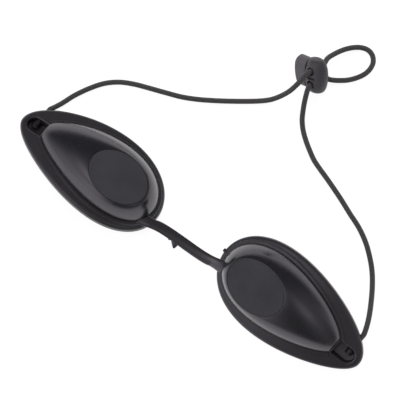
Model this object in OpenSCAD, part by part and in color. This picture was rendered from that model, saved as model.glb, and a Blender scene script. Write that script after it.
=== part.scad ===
// Laser patient goggles: two opaque domed eye cups joined by a flexible nose strip and
// held on by one elastic cord that runs from temple to temple through a cord lock.
// The goggles lie on a table, domes up. X runs from the left temple tip to the right one,
// Y points to the forehead, Z is up, and the table is at Z = 0. Millimetres.

/* [Rim] */
// Length of a cup's rim from its nose end to its temple tip
rim_length = 75; // [66:0.5:84]
// Half width of the rim towards the forehead
rim_brow = 20; // [18:0.5:23]
// Half width of the rim towards the cheek
rim_cheek = 19; // [17:0.5:22]
// How far the brow side narrows towards the temple, as a share
brow_taper = 0.22; // [0.1:0.01:0.3]
// How far the cheek side narrows towards the temple, as a share
cheek_taper = 0.31; // [0.2:0.01:0.36]
// Radius of the rim's curve round the face
rim_bow = 147; // [120:1:400]
// Depth of the turned-down lip under the flange
lip_depth = 3.6; // [2.8:0.1:5]
// Thickness of the flange
flange_wall = 1.4; // [1:0.1:2]
// Width of the turned-down lip
lip_width = 1.9; // [1.6:0.1:2.2]

/* [Dome] */
// Width of the flange at the nose end
flange_nose = 2.5; // [2.4:0.1:4]
// Width of the flange at the temple tip
flange_temple = 11; // [10:0.1:12]
// Width of the flange on the brow side
flange_brow = 4; // [3.6:0.1:6]
// Width of the flange on the cheek side
flange_cheek = 4.4; // [4:0.1:6]
// Height of the dome over the flange, measured at its window
dome_height = 10.4; // [8:0.1:14]
// Wall of the dome
dome_wall = 1.6; // [1.2:0.1:1.8]
// Bulge of the dome: 2 is a quarter ellipse and 1 is a straight cone
dome_bulge = 1.5; // [1.4:0.05:2]
// Width of the step round the dome's foot
step_width = 1.3; // [0.8:0.1:1.5]
// Height of the step round the dome's foot
step_height = 0.9; // [0.5:0.1:1.4]

/* [Window] */
// Length of the oval window disc
window_length = 27.6; // [24:0.1:29]
// Width of the oval window disc
window_width = 20.3; // [17:0.1:22]
// From the rim's nose end to the middle of the window
window_from_nose = 21.6; // [21:0.1:25]
// Depth of the window's recess
window_depth = 1.3; // [1:0.1:1.6]
// Clear groove round the window disc
window_gap = 0.25; // [0.2:0.05:0.4]
// Width of the ledge that carries the window disc
ledge_width = 1.6; // [1.2:0.1:2.2]
// Thickness of that ledge
ledge_wall = 1.2; // [0.8:0.1:1.5]
// Slope of the window towards the nose, in degrees
window_pitch = 7.5; // [0:0.5:10]
// Slope of the window towards the cheek, in degrees
window_roll = 4; // [0:0.5:8]

/* [Nose strip] */
// Gap between the two rims at the nose
nose_gap = 32.2; // [26:0.2:40]
// Width of the strip
strip_width = 4.8; // [3.6:0.1:6]
// Thickness of the strip
strip_wall = 1.8; // [1.4:0.1:2.4]
// How far the strip's roots sit on the cheek side of the rims' middle line
root_drop = 5.7; // [4:0.1:6.4]
// How far the two rims pull the strip's ends apart along Y, each way
root_shift = 1.9; // [0:0.1:2.4]
// Angle of the strip to the rims at its two ends
strip_swing = 21; // [0:1:30]
// Clear gap at each of the strip's two bending ends
bend_gap = 0.3; // [0.2:0.05:0.5]

/* [Rest pose] */
// Roll of each cup that the twisted strip gives, opposite ways
cup_roll = 15.5; // [0:0.5:20]
// Turn of the right cup in the plane of the table
right_yaw = 4; // [0:0.5:8]
// How far the cups stand apart along Y
cup_offset = 1.2; // [0:0.1:3]

/* [Temple tip] */
// Width of the open channel in the temple tip
channel_width = 6.5; // [6.2:0.1:7]
// Depth of the channel under the flange
channel_depth = 4.8; // [4.7:0.1:5.6]
// Wall round the channel
channel_wall = 1.1; // [0.9:0.1:1.4]
// From the rim's temple tip to the end of the channel
channel_from_tip = 3.3; // [3:0.1:4]

/* [Cord] */
// Diameter of the elastic cord
cord_d = 2.3; // [1.8:0.1:2.5]
// Clearance round the cord in its holes
cord_clear = 0.2; // [0.1:0.05:0.3]
// Depth of the cord's middle under the flange
cord_depth = 2.85; // [2.8:0.05:3.2]
// Outer diameter of the sleeve crimped on the cord's end
sleeve_d = 3.4; // [3.2:0.1:3.6]
// Length of that sleeve
sleeve_length = 2.6; // [2:0.1:3]

/* [Cord lock] */
// Length of the lock's body along the line of its two cord holes
lock_length = 16; // [15:0.5:18]
// Width of the body along the button's axis
lock_width = 11.6; // [11.4:0.1:13]
// Thickness of the body along its cord holes
lock_depth = 8.4; // [8:0.1:10]
// Distance between the two cord holes
lock_pitch = 6.6; // [6.4:0.1:6.8]
// Length of the button's oval block
block_length = 14.2; // [13.4:0.1:14.4]
// Width of the button's block
block_width = 6; // [4.8:0.1:6.2]
// From the lock's middle to the button's crown, when it isn't pressed
crown_reach = 10.05; // [9.6:0.05:11]
// Radius of the crown's curve along the lock
crown_r = 19.3; // [12:0.1:40]
// How far the crown's highest line is off the middle, towards the upper end
crown_shift = 2; // [0:0.1:2.4]
// Travel of the button
button_travel = 1.6; // [1.2:0.1:1.6]
// Thickness of the button's flat stem
stem_wall = 3.6; // [3.4:0.1:3.8]
// Sliding clearance of the stem in its slot
stem_clear = 0.2; // [0.15:0.05:0.25]
// Wire of the return spring
spring_wire = 0.4; // [0.35:0.05:0.45]
// Mean diameter of the return spring
spring_d = 2.8; // [2.6:0.1:2.9]

/* [Hidden] */

LEFT = -1;
RIGHT = 1;
around = 64;
dome_rings = 12;
inner_rings = 7;
// Rounded corners of the lip, the flange and the window's edge
edge = 0.5;
// Small overlap that fuses two solids of one piece
fuse = 0.4;

rim_half = rim_length / 2;
cup_x = nose_gap / 2 + rim_half;
dome_half = (rim_length - flange_nose - flange_temple) / 2;
dome_cx = (flange_nose - flange_temple) / 2;
window_x = window_from_nose - rim_half;
window_y = -0.9;
channel_r = channel_width / 2;
cord_x = rim_half - channel_from_tip - channel_r;
cord_r = cord_d / 2;

function lerp(a, b, w) = a + (b - a) * w;

// Leaf-shaped outline: an ellipse whose two sides narrow towards the temple
function leaf(t, cx, half, brow, cheek) =
    [cx + half * cos(t), sin(t) >= 0 ? brow * sin(t) * (1 - brow_taper * cos(t))
                                     : cheek * sin(t) * (1 - cheek_taper * cos(t))];
function rim_at(t, inset) = leaf(t, 0, rim_half - inset, rim_brow - inset, rim_cheek - inset);
function foot_at(t, out) = leaf(t, dome_cx, dome_half + out, rim_brow - flange_brow + out,
                                rim_cheek - flange_cheek + out);
function window_at(t, out) = [window_x + (window_length / 2 + out) * cos(t),
                              window_y + (window_width / 2 + out) * sin(t)];

// Height of the flange's top face, which curves round the face
function bow(x) = -x * x / (2 * rim_bow);
function on_rim(p, z) = [p.x, p.y, z + bow(p.x)];
function window_z() = dome_height + bow(window_x);
function on_window(p, z) = [p.x, p.y, window_z() + z + (p.x - window_x) * tan(window_pitch)
                                      + (p.y - window_y) * tan(window_roll)];

// One ring of the dome: share 0 is its foot and share 1 the window's edge
function dome_at(t, share, foot, top) =
    let (power = 2 / dome_bulge, out = 1 - pow(cos(90 * share), power),
         up = pow(sin(90 * share), power))
    [lerp(foot.x, top.x, out), lerp(foot.y, top.y, out), lerp(foot.z, top.z, up)];

// The cup's section at the angle t, from the window's ledge over the dome, the flange
// and the lip, and back inside the dome
function cup_section(t) =
    let (foot = on_rim(foot_at(t, 0), step_height),
         top = on_window(window_at(t, window_gap + edge), 0),
         inner_foot = on_rim(foot_at(t, -dome_wall), -flange_wall + edge),
         inner_top = on_window(window_at(t, window_gap + edge), -window_depth - ledge_wall))
    concat(
        [on_window(window_at(t, -ledge_width), -window_depth),
         on_window(window_at(t, window_gap), -window_depth),
         on_window(window_at(t, window_gap), -edge / 3)],
        [for (i = [dome_rings : -1 : 0]) dome_at(t, i / dome_rings, foot, top)],
        [on_rim(foot_at(t, step_width - edge / 3), step_height - 0.05),
         on_rim(foot_at(t, step_width), step_height - edge / 2),
         on_rim(foot_at(t, step_width + 0.1), 0),
         on_rim(rim_at(t, 2 * edge), 0),
         on_rim(rim_at(t, edge / 2), -edge / 2),
         on_rim(rim_at(t, 0), -2 * edge),
         on_rim(rim_at(t, 0), edge - lip_depth),
         on_rim(rim_at(t, edge), -lip_depth),
         on_rim(rim_at(t, lip_width - edge), -lip_depth),
         on_rim(rim_at(t, lip_width), edge - lip_depth),
         on_rim(rim_at(t, lip_width), -flange_wall),
         on_rim(foot_at(t, -edge / 2), -flange_wall)],
        [for (i = [0 : inner_rings]) dome_at(t, i / inner_rings, inner_foot, inner_top)],
        [on_window(window_at(t, -ledge_width), -window_depth - ledge_wall)]);

// Closed skin through rings of points that join end to end in both directions
module ring_skin(sections) {
    steps = len(sections);
    count = len(sections[0]);
    points = [for (section = sections) each section];
    faces = [for (i = [0 : steps - 1], j = [0 : count - 1])
        let (a = i * count + j, b = i * count + (j + 1) % count,
             c = ((i + 1) % steps) * count + j, d = ((i + 1) % steps) * count + (j + 1) % count)
        each [[a, d, b], [a, c, d]]];
    polyhedron(points, faces);
}

module cup_shell() {
    ring_skin([for (i = [0 : around - 1]) cup_section(i * 360 / around)]);
}

// Outline of the temple channel, open towards the dome
module channel_outline(grow, reach) {
    translate([cord_x, 0]) circle(r = channel_r + grow, $fn = 48);
    translate([cord_x - reach, -channel_r - grow])
        square([reach, channel_width + 2 * grow]);
}

channel_reach = 5.6;
channel_floor = bow(cord_x) - channel_depth;
cord_z = bow(cord_x) - cord_depth;

module cup(side) {
    difference() {
        union() {
            cup_shell();
            translate([0, 0, channel_floor - channel_wall])
                linear_extrude(channel_depth + channel_wall - flange_wall / 2)
                    channel_outline(channel_wall, channel_reach + channel_wall);
            root_lug(side);
        }
        translate([0, 0, channel_floor])
            linear_extrude(channel_depth + dome_height)
                channel_outline(0, channel_reach);
        // Hole for the cord in the channel's wall, and its way out under the lip
        translate([cord_x, 0, cord_z]) rotate([-90, 0, 0])
            cylinder(h = rim_brow, r = cord_r + cord_clear, $fn = 32);
        translate([cord_x - cord_r - cord_clear, channel_r + channel_wall + edge, cord_z - lip_depth])
            cube([cord_d + 2 * cord_clear, rim_brow, lip_depth]);
    }
}

// Pad on the flange that the nose strip grows out of, in a cup's own axes
root_x = -(rim_half + 1.2);
root_z = bow(root_x) + strip_wall / 2;
bend_r = strip_wall / 2;

function root_y(side) = -root_drop - side * root_shift;
module root_lug(side) {
    lug_end = root_x + bend_gap;
    lug_root = dome_cx - dome_half + 2.4;
    wide = strip_width / 2 + 0.9;
    translate([0, 0, root_z - strip_wall / 2]) linear_extrude(strip_wall)
        polygon([[lug_end, root_y(side) - strip_width / 2], [lug_root, -root_drop - wide],
                 [lug_root, wide - root_drop], [lug_end, root_y(side) + strip_width / 2]]);
}

// A cup's own axes in the model's axes
function side_yaw(side) = side == RIGHT ? -right_yaw : 0;
function turned(p, side) =
    let (roll = side * cup_roll, yaw = side_yaw(side),
         y = p.y * cos(roll) - p.z * sin(roll), z = p.y * sin(roll) + p.z * cos(roll))
    [p.x * cos(yaw) - y * sin(yaw), p.x * sin(yaw) + y * cos(yaw), z];
// Lift that sets the lowest point of the lip on the table
function lift(side) = -min([for (i = [0 : 179]) turned(on_rim(rim_at(2 * i, edge), -lip_depth), side).z]);
function placed(p, side) =
    let (q = turned(p, side))
    [side * (cup_x + q.x), q.y + side * cup_offset / 2, q.z + lift(side)];

// Sets the middle of the goggles' own box, without the cord, over the origin
module centred() {
    translate([0, -0.6, 0]) children();
}

module place_cup(side) {
    centred() mirror([side == LEFT ? 1 : 0, 0, 0])
        translate([cup_x, side * cup_offset / 2, lift(side)])
            rotate([side * cup_roll, 0, side_yaw(side)]) children();
}

module eye_cup(side) {
    color("#1a1a1d") place_cup(side) cup(side);
}

module window_disc(side) {
    color("#414145") place_cup(side)
        translate([window_x, window_y, window_z()])
            rotate([window_roll, -window_pitch, 0])
                translate([0, 0, -window_depth + 0.08])
                    linear_extrude(window_depth - 0.12)
                        polygon([for (i = [0 : around - 1])
                            [window_length / 2 * cos(i * 360 / around),
                             window_width / 2 * sin(i * 360 / around)]]);
}

// The strip follows one smooth curve between the two bending ends
strip_steps = 24;
strip_pull = 6;
function root_point(side) = placed([root_x, root_y(side), root_z], side);
function root_heading(side, swing) =
    placed([root_x - cos(swing), root_y(side) - side * sin(swing), root_z], side) - root_point(side);
function strip_at(s) =
    let (a = root_point(LEFT), d = root_point(RIGHT), r = 1 - s,
         b = a + strip_pull * root_heading(LEFT, strip_swing),
         c = d + strip_pull * root_heading(RIGHT, strip_swing))
    r * r * r * a + 3 * r * r * s * b + 3 * r * s * s * c + s * s * s * d;
function unit(v) = v / norm(v);
// Direction of the strip's sections: square to the rims at its ends, along its curve between
function strip_way(s) =
    let (way = unit(strip_at(min(1, s + 0.01)) - strip_at(max(0, s - 0.01))),
         w = min(1, s / 0.15, (1 - s) / 0.15),
         end = s < 0.5 ? root_heading(LEFT, 0) : -root_heading(RIGHT, 0))
    unit(lerp(end, way, w));
// Half thickness, drawn in at both ends to a round nose
function strip_half(d) = d >= bend_r ? bend_r : sqrt(max(0.01, bend_r * bend_r - pow(bend_r - d, 2)));

strip_outline = [for (i = [0 : 11])
    let (a = 15 + 30 * i) [sign(cos(a)) * pow(abs(cos(a)), 0.3), sign(sin(a)) * pow(abs(sin(a)), 0.5)]];

function strip_ring(s, half) =
    let (p = strip_at(s), t = strip_way(s), roll = lerp(-cup_roll, cup_roll, s),
         flat = unit(cross([0, 0, 1], t)), up = cross(t, flat),
         across = flat * cos(roll) + up * sin(roll), rise = cross(t, across))
    [for (q = strip_outline) p + across * q.x * strip_width / 2 + rise * q.y * half];

// Closed solid through rings, with flat ends
module tube_skin(rings) {
    count = len(rings[0]);
    last = (len(rings) - 1) * count;
    polyhedron([for (ring = rings) each ring], concat(
        [[for (j = [0 : count - 1]) j]],
        [for (i = [0 : len(rings) - 2], j = [0 : count - 1])
            let (a = i * count + j, b = i * count + (j + 1) % count)
            each [[a, b + count, b], [a, a + count, b + count]]],
        [[for (j = [count - 1 : -1 : 0]) last + j]]));
}

module nose_strip() {
    span = norm(root_point(RIGHT) - root_point(LEFT));
    nose = [0, 0.12, 0.3, 0.6, bend_r];
    color("#242427") centred() {
        tube_skin(concat(
            [for (d = nose) strip_ring(d / span, strip_half(d))],
            [for (i = [1 : strip_steps - 1]) strip_ring(i / strip_steps, bend_r)],
            [for (k = [4 : -1 : 0]) strip_ring(1 - nose[k] / span, strip_half(nose[k]))]));
        sprue_stub(0.37, 3.2);
        sprue_stub(0.42, 1.6);
    }
}

// Short stub left on the strip's cheek-side edge where the sprue was snapped off
module sprue_stub(s, length) {
    p = strip_at(s);
    translate(p + [0, -strip_width / 2 - 0.9, -0.3])
        rotate([0, 0, -20]) translate([-length / 2, 0, -0.4]) cube([length, 1.4, 0.8]);
}

// The sleeve stops where the channel's round end leaves room for it
sleeve_stop = sqrt(pow(channel_r, 2) - pow(sleeve_d / 2 + 0.1, 2));
module cord_sleeve(side) {
    color("#3a3a3c") place_cup(side)
        translate([cord_x, sleeve_stop - sleeve_length, cord_z]) rotate([-90, 0, 0])
            difference() {
                cylinder(h = sleeve_length, d = sleeve_d, $fn = 32);
                translate([0, 0, -1]) cylinder(h = sleeve_length + 2, d = cord_d + 0.1, $fn = 32);
            }
}

// The cord's end in the cup: through the sleeve, the channel's wall and under the lip
tail_start = sleeve_stop - sleeve_length - 0.6;
tail_end = 10;
module cord_tail(side) {
    color("#2e2e30") place_cup(side)
        translate([cord_x, tail_start, cord_z]) rotate([-90, 0, 0])
            cylinder(h = tail_end - tail_start, d = cord_d, $fn = 32);
}

// The lock's own axes: X to the button, Y along the two cord holes, Z out of the face
// where the two runs go in
lock_at = [2.4, 89, 9.35];
lock_turn = [-51, 28.5, -174.5];
function axis_turn(v, a) =
    let (y1 = v.y * cos(a.x) - v.z * sin(a.x), z1 = v.y * sin(a.x) + v.z * cos(a.x),
         x2 = v.x * cos(a.y) + z1 * sin(a.y), z2 = -v.x * sin(a.y) + z1 * cos(a.y))
    [x2 * cos(a.z) - y1 * sin(a.z), x2 * sin(a.z) + y1 * cos(a.z), z2];
function lock_point(p) = lock_at + axis_turn(p, lock_turn);

module place_lock() {
    centred() translate(lock_at) rotate(lock_turn) children();
}

hole_r = cord_r + cord_clear + 0.3;
hole_x = 0.2;
slot_r = hole_r - 0.2;
stem_end = hole_x - slot_r - 1;
stem_width = lock_pitch + 2 * slot_r + 1.3;
// Bottom of the stem's slot, and of the spring's bore behind it
slot_end = stem_end - button_travel - 0.1;
bore_end = slot_end - 0.9;
// Floor of the pocket that the button's block slides into, and the block's inner end
pocket_at = hole_x + hole_r + 0.35;
block_at = pocket_at + button_travel + 0.1;

// Oval rings along the lock's length, drawn in at both ends
module lock_barrel() {
    tube_skin([for (i = [0 : 18]) let (a = -84 + i * 168 / 18, f = pow(cos(a), 0.5))
        [for (j = [0 : 47]) let (q = -j * 7.5)
            [lock_width / 2 * f * cos(q), lock_length / 2 * sin(a) / sin(84), lock_depth / 2 * f * sin(q)]]]);
}

// Outline of the stem, with its inner corners cut off
module stem_outline(grow, from, to) {
    corner = 1.4;
    polygon([[from, corner - stem_width / 2], [from + corner, -stem_width / 2 - grow],
             [to, -stem_width / 2 - grow], [to, stem_width / 2 + grow],
             [from + corner, stem_width / 2 + grow], [from, stem_width / 2 - corner]]);
}

module lock_body() {
    slot_wall = stem_wall + 2 * stem_clear;
    color("#333336") place_lock() difference() {
        lock_barrel();
        translate([0, 0, -slot_wall / 2])
            linear_extrude(slot_wall) stem_outline(stem_clear, slot_end, lock_width);
        // Pocket for the button's block
        block_bar(stem_clear, pocket_at, lock_width);
        // Bore for the spring
        translate([bore_end, 0, 0]) rotate([0, 90, 0])
            cylinder(h = lock_width / 2, d = spring_d + spring_wire + 0.5, $fn = 32);
        for (y = [-1, 1] * lock_pitch / 2) translate([hole_x, y, -lock_depth])
            cylinder(h = 2 * lock_depth, r = hole_r, $fn = 40);
        // Small moulded slot in the face between the two holes
        translate([hole_x - 0.4, 0, lock_depth / 2])
            cube([4, 0.9, 2], center = true);
    }
}

// The button's stem has two slots, long enough for its travel, that the strands pass
module lock_button() {
    color("#4a4a4e") place_lock() {
        button_block();
        difference() {
            translate([0, 0, -stem_wall / 2])
                linear_extrude(stem_wall) stem_outline(0, stem_end, block_at + fuse);
            for (y = [-1, 1] * lock_pitch / 2) {
                for (x = [hole_x, hole_x + button_travel + 0.2])
                    translate([x, y, -stem_wall]) cylinder(h = 2 * stem_wall, r = slot_r, $fn = 40);
                translate([hole_x, y - slot_r, -stem_wall])
                    cube([button_travel + 0.2, 2 * slot_r, 2 * stem_wall]);
            }
        }
    }
}

// Oval bar along the button's axis
module block_bar(grow, from, to) {
    translate([from, 0, 0]) rotate([0, 90, 0]) linear_extrude(to - from) {
        square([block_width + 2 * grow, block_length - block_width], center = true);
        for (y = [-1, 1] * (block_length - block_width) / 2)
            translate([0, y]) circle(d = block_width + 2 * grow, $fn = 48);
    }
}

// Oval block whose outer end curves from one end of the lock to the other
module button_block() {
    intersection() {
        block_bar(0, block_at, crown_reach);
        translate([crown_reach - crown_r, -crown_shift, -block_width])
            cylinder(h = 2 * block_width, r = crown_r, $fn = 180);
    }
}

// Coil between the stem's end and the bottom of the bore
spring_turns = 2;
spring_steps = 12;
module lock_spring() {
    from = stem_end - 0.05 - spring_wire / 2;
    to = bore_end + 0.05 + spring_wire / 2;
    path = [for (i = [0 : spring_turns * spring_steps])
        let (a = i * 360 / spring_steps, x = lerp(from, to, i / (spring_turns * spring_steps)))
        [x, spring_d / 2 * cos(a), spring_d / 2 * sin(a)]];
    color("#b8bcc0") place_lock() tube(path, spring_wire / 2, 6);
}

// Round tube through a list of points
function tangent(path, i) = unit(path[min(i + 1, len(path) - 1)] - path[max(i - 1, 0)]);
function frames(path, i = 0, side = undef, list = []) =
    i == len(path) ? list :
    let (t = tangent(path, i),
         start = abs(t.z) < 0.9 ? [0, 0, 1] : [1, 0, 0],
         ref = is_undef(side) ? start : side,
         n = unit(ref - t * (ref * t)))
    frames(path, i + 1, n, concat(list, [[n, cross(t, n)]]));
module tube(path, r, sides) {
    axes = frames(path);
    tube_skin([for (i = [0 : len(path) - 1])
        [for (k = [0 : sides - 1]) let (a = k * 360 / sides)
            path[i] + r * cos(a) * axes[i][0] + r * sin(a) * axes[i][1]]]);
}

// The cord's straight stretches: out of each cup, and through the lock
function tail_point(side, y) = placed([cord_x, y, cord_z], side);
strand_front = 1.5;
strand_back = -lock_depth / 2 - 0.3;
function hole_point(y, z) = lock_point([hole_x, y, z]);

// Routes of the cord's free stretches, from each cup to the lock and behind the lock
left_route = [[-83.6, 10, 1.25], [-82, 13.5, 1.2], [-79.7, 19.6, 1.2], [-76.2, 26.3, 1.2],
    [-72.2, 32, 1.2], [-67.2, 36.4, 1.2], [-61.3, 39.6, 1.2], [-54.7, 42.2, 1.2],
    [-47.5, 44.9, 1.2], [-40.4, 47.7, 1.2], [-33.8, 51.2, 1.2], [-29, 54.2, 1.2],
    [-24.5, 57.2, 1.2], [-20.1, 60.3, 1.2], [-15.6, 63.6, 1.2], [-12.6, 65.9, 1.3],
    [-9.7, 68.3, 1.7], [-7.7, 70.2, 2.5], [-5.8, 72.4, 4], [-4.1, 74.7, 6.1],
    [-2.7, 77.1, 8.5], [-1.4, 80.9, 12.1], [-1, 83.4, 13.6], [-0.9, 85, 14.1],
    [-0.6, 86.3, 14.1]];
right_route = [[84.7, 12.8, 7.8], [83.4, 16.3, 7.5], [81.7, 20, 6.3], [79.6, 24, 4.4],
    [77.1, 28.3, 2.7], [74.2, 32.6, 1.6], [71.7, 35.7, 1.2], [68.8, 38.6, 1.2],
    [63.1, 43.3, 1.2], [56.7, 47, 1.2], [49.8, 49.7, 1.2], [43.2, 52.4, 1.2],
    [37.8, 54.4, 1.2], [32.7, 56.2, 1.2], [27.8, 57.8, 1.2], [23.2, 59.5, 1.2],
    [19, 61.9, 1.2], [14.9, 64.6, 1.2], [11.2, 67.6, 1.5], [8.5, 70.6, 2.6],
    [6.7, 73.6, 4.5], [5.3, 76.4, 6.9], [4.1, 79.3, 9.1], [3.4, 81.2, 9.9],
    [3.1, 82.4, 10]];
loop_route = [[1.6, 97.6, 7.2], [1.6, 99.3, 6.2], [2.3, 101.8, 5], [3.6, 105.1, 3.7],
    [5.4, 108.2, 2.6], [7.6, 110.8, 1.8], [9.9, 112.5, 1.4], [12.8, 113.4, 1.2],
    [15.7, 112.7, 1.2], [18, 110.3, 1.2], [18.7, 107.5, 1.2], [18.4, 104.5, 1.2],
    [17.2, 101.7, 1.2], [15.4, 99, 1.2], [13.4, 96.8, 1.2], [11.2, 95, 1.3],
    [9.2, 93.5, 1.8], [7.3, 92.2, 3]];

function run_path(side, route, y) = concat(
    [tail_point(side, tail_end), tail_point(side, tail_end + 0.9)], route,
    [hole_point(y, strand_front + 1.3), hole_point(y, strand_front)]);

module left_cord_run() {
    color("#2e2e30") centred() tube(run_path(LEFT, left_route, -lock_pitch / 2), cord_r, 8);
}
module right_cord_run() {
    color("#2e2e30") centred() tube(run_path(RIGHT, right_route, lock_pitch / 2), cord_r, 8);
}
module cord_end_loop() {
    color("#2e2e30") centred() tube(concat(
        [hole_point(-lock_pitch / 2, strand_back), hole_point(-lock_pitch / 2, strand_back - 1)],
        loop_route,
        [hole_point(lock_pitch / 2, strand_back - 1), hole_point(lock_pitch / 2, strand_back)]), cord_r, 8);
}
module lock_strand(y) {
    color("#2e2e30") place_lock() translate([hole_x, y, strand_back])
        cylinder(h = strand_front - strand_back, d = cord_d, $fn = 32);
}

eye_cup(LEFT);  // left_eye_cup
eye_cup(RIGHT);  // right_eye_cup
window_disc(LEFT);  // left_window_disc
window_disc(RIGHT);  // right_window_disc
nose_strip();
cord_sleeve(LEFT);  // left_cord_sleeve
cord_sleeve(RIGHT);  // right_cord_sleeve
cord_tail(LEFT);  // left_cord_tail
cord_tail(RIGHT);  // right_cord_tail
left_cord_run();
right_cord_run();
lock_strand(-lock_pitch / 2);  // left_lock_strand
lock_strand(lock_pitch / 2);  // right_lock_strand
cord_end_loop();
lock_body();
lock_button();
lock_spring();
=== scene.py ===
"""Laser patient goggles: two domed eye cups on a twisted nose strip, with an elastic cord
and its cord lock, lying on a white table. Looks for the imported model, in the same frame."""
import math

import bmesh
import bpy
import numpy as np
from mathutils import Matrix, Vector


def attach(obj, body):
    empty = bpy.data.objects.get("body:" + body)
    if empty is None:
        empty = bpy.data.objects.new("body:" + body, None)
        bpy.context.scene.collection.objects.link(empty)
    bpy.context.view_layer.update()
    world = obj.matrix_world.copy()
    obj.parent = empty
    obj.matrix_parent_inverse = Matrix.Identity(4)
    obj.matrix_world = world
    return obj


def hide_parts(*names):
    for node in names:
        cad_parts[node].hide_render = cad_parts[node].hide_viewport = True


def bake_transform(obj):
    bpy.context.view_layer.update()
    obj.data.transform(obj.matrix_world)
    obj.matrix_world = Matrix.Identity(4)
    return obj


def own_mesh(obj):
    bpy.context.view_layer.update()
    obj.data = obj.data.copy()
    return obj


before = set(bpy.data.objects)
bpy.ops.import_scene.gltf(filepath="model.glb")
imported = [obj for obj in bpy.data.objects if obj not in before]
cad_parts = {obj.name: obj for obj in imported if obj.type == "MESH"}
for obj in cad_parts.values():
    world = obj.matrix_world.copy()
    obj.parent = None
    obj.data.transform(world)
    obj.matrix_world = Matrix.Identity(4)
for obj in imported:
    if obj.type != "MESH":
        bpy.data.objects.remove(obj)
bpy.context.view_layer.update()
MM = 0.001
LEFT, RIGHT = -1, 1

# Shape: values of the model's source, in millimetres and degrees
RIM_HALF, RIM_BROW, RIM_CHEEK = 37.5, 20.0, 19.0
BROW_TAPER, CHEEK_TAPER, RIM_BOW = 0.22, 0.31, 147.0
LIP_DEPTH, FLANGE_WALL, LIP_WIDTH = 3.6, 1.4, 1.9
DOME_CX, DOME_HALF = -4.25, 30.75
FLANGE_BROW, FLANGE_CHEEK = 4.0, 4.4
DOME_HEIGHT, DOME_WALL, DOME_BULGE = 10.4, 1.6, 1.5
STEP_WIDTH, STEP_HEIGHT = 1.3, 0.9
WINDOW_LENGTH, WINDOW_WIDTH, WINDOW_DEPTH, WINDOW_GAP = 27.6, 20.3, 1.3, 0.25
WINDOW_X, WINDOW_Y, WINDOW_PITCH, WINDOW_ROLL = -15.9, -0.9, 7.5, 4.0
LEDGE_WIDTH, LEDGE_WALL = 1.6, 1.2
STRIP_WIDTH, STRIP_WALL, ROOT_DROP, ROOT_SHIFT = 4.8, 1.8, 5.7, 1.9
STRIP_SWING, STRIP_PULL = 21.0, 6.0
CUP_X, CUP_ROLL, RIGHT_YAW, CUP_OFFSET = 53.6, 15.5, 4.0, 1.2
CHANNEL_R, CHANNEL_DEPTH, CHANNEL_WALL, CHANNEL_REACH = 3.25, 4.8, 1.1, 5.6
CORD_X, CORD_R, CORD_DEPTH, CORD_CLEAR = 30.95, 1.15, 2.85, 0.2
SLEEVE_R, SLEEVE_LENGTH = 1.7, 2.6
EDGE = 0.5
# How far the whole model is moved towards the cheek side, as in the model's source
MODEL_SHIFT = 0.6

WORD = {LEFT: "left", RIGHT: "right"}


def unit(v):
    v = np.asarray(v, float)
    return v / np.linalg.norm(v, axis=-1, keepdims=True)


def leaf(t, cx, half, brow, cheek):
    """Oval in the cup's own plane that tapers towards the temple."""
    c, s = np.cos(t), np.sin(t)
    y = np.where(s >= 0, brow * s * (1 - BROW_TAPER * c), cheek * s * (1 - CHEEK_TAPER * c))
    return np.stack([cx + half * c, y], -1)


def rim_at(t, inset):
    return leaf(t, 0, RIM_HALF - inset, RIM_BROW - inset, RIM_CHEEK - inset)


def foot_at(t, out):
    return leaf(t, DOME_CX, DOME_HALF + out, RIM_BROW - FLANGE_BROW + out, RIM_CHEEK - FLANGE_CHEEK + out)


def window_at(t, out):
    return np.stack([WINDOW_X + (WINDOW_LENGTH / 2 + out) * np.cos(t),
                     WINDOW_Y + (WINDOW_WIDTH / 2 + out) * np.sin(t)], -1)


def bow(x):
    """Height of the rim's curve, which falls off to both ends of the cup."""
    return -x * x / (2 * RIM_BOW)


def on_rim(p, z):
    """Points at the height z over the rim's curve."""
    return np.concatenate([p, (z + bow(p[..., :1]))], -1)


WINDOW_Z = DOME_HEIGHT + bow(WINDOW_X)


def on_window(p, z):
    """Points at the height z over the tilted window's plane."""
    z = (WINDOW_Z + z + (p[..., :1] - WINDOW_X) * math.tan(math.radians(WINDOW_PITCH))
         + (p[..., 1:] - WINDOW_Y) * math.tan(math.radians(WINDOW_ROLL)))
    return np.concatenate([p, z], -1)


def dome_at(share, foot, top):
    """Ring of the dome at a share of the way from its foot to its top."""
    power = 2 / DOME_BULGE
    out = 1 - max(0.0, math.cos(math.pi / 2 * share)) ** power
    up = math.sin(math.pi / 2 * share) ** power
    return foot + (top - foot) * np.array([out, out, up])


def turned(p, side):
    p = np.asarray(p, float)
    roll, yaw = math.radians(side * CUP_ROLL), math.radians(-RIGHT_YAW if side == RIGHT else 0)
    y = p[..., 1] * math.cos(roll) - p[..., 2] * math.sin(roll)
    z = p[..., 1] * math.sin(roll) + p[..., 2] * math.cos(roll)
    return np.stack([p[..., 0] * math.cos(yaw) - y * math.sin(yaw),
                     p[..., 0] * math.sin(yaw) + y * math.cos(yaw), z], -1)


LIFT = {side: -turned(on_rim(rim_at(np.radians(np.arange(0, 360, 2)), EDGE), -LIP_DEPTH), side)[:, 2].min()
        for side in (LEFT, RIGHT)}


def placed(p, side):
    """A cup's own axes to the model's axes."""
    q = turned(p, side)
    return np.stack([side * (CUP_X + q[..., 0]), q[..., 1] + side * CUP_OFFSET / 2 - MODEL_SHIFT,
                     q[..., 2] + LIFT[side]], -1)


# Camera: azimuth, elevation and roll in degrees, the point it looks at in millimetres,
# and its distance in metres
CAMERA_TURN, CAMERA_AIM, CAMERA_AWAY = (58.624, 80.499, -21.692), (-6.383, 15.105, 0), 0.6
SENSOR, LENS = 36, 123.12


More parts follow.
